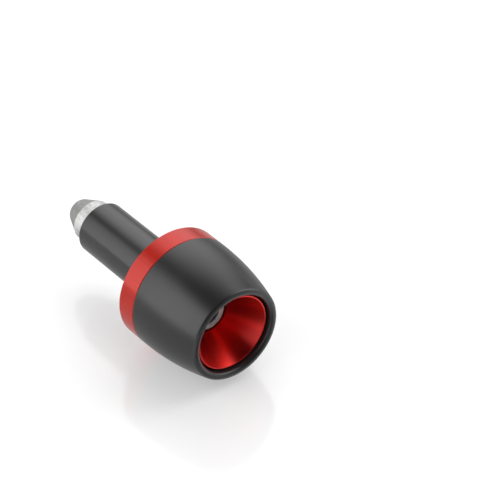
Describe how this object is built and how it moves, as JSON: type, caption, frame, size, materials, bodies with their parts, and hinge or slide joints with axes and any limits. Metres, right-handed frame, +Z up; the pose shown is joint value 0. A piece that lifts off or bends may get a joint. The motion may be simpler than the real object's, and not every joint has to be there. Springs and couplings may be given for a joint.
{
  "type": "bar end weight",
  "caption": "Turned barrel weight with a funnel mouth and an accent ring, on a rubber expanding plug that one socket screw draws tight inside a handlebar tube.",
  "frame": {"origin": "on the turning axis, in the plane where the ring's back face meets the end of the handlebar tube", "axes": "+X along the turning axis out of the mouth, the plug along -X into the handlebar, +Z up with the bar level, +Y across"},
  "size_m": [0.0709, 0.033, 0.033],
  "materials": {
    "dark_anodised": "satin blasted, dark anodised",
    "red_anodised": "fine turned, red anodised",
    "screw_steel": "plain stainless steel",
    "sleeve_rubber": "smooth, half gloss",
    "raw_aluminium": "turned, a little rough"
  },
  "bodies": {
    "weight": {"weight_body": "dark_anodised", "accent_ring": "red_anodised", "inner_cone": "red_anodised", "expansion_sleeve": "sleeve_rubber"},
    "screw": {"clamp_screw": "screw_steel"},
    "nut": {"expander_nut": "raw_aluminium"}
  },
  "joints": [
    {"name": "screw_turn", "type": "hinge", "parent": "weight", "child": "screw", "pos_m": [0.0114, 0, 0], "axis": [-1, 0, 0], "range_deg": [0, 1080]},
    {"name": "nut_draw", "type": "slide", "parent": "weight", "child": "nut", "axis": [1, 0, 0], "range_m": [0, 0.003], "deforming": ["expansion_sleeve"]}
  ],
  "couplings": [
    {"joint": "nut_draw", "follows": "screw_turn", "m_per_rad": 0.00015915}
  ]
}
